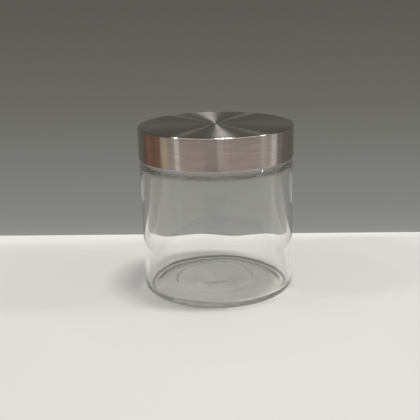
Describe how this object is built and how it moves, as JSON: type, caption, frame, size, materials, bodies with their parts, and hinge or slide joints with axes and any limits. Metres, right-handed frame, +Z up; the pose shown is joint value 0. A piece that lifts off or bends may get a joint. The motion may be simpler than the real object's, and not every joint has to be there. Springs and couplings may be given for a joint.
{
  "type": "glass storage jar",
  "caption": "Clear cylindrical glass storage jar with a heavy base and a brushed steel screw lid over a plastic insert and a seal ring.",
  "frame": {"origin": "centre of the resting ring's plane, on the jar's axis, with the lid closed", "axes": "+Z up along the jar's axis, towards the lid; X and Y are free, because the jar is round"},
  "size_m": [0.105, 0.105, 0.1133],
  "materials": {
    "clear_glass": "clear, fire-polished",
    "brushed_steel": "spun on the top, brushed round the skirt",
    "insert_plastic": "satin moulded polypropylene",
    "seal_silicone": "matt silicone"
  },
  "bodies": {
    "jar": {"glass_jar": "clear_glass"},
    "seal": {"seal_ring": "seal_silicone"},
    "lid": {"lid_shell": "brushed_steel", "thread_insert": "insert_plastic"}
  },
  "joints": [
    {"name": "lid_rise", "type": "slide", "parent": "jar", "child": "seal", "axis": [0, 0, 1], "range_m": [0, 0.027]},
    {"name": "lid_turn", "type": "hinge", "parent": "seal", "child": "lid", "pos_m": [0, 0, 0.1092], "axis": [0, 0, 1], "range_deg": [0, 1080]}
  ],
  "couplings": [
    {"joint": "lid_rise", "follows": "lid_turn", "m_per_rad": 0.0014324}
  ]
}
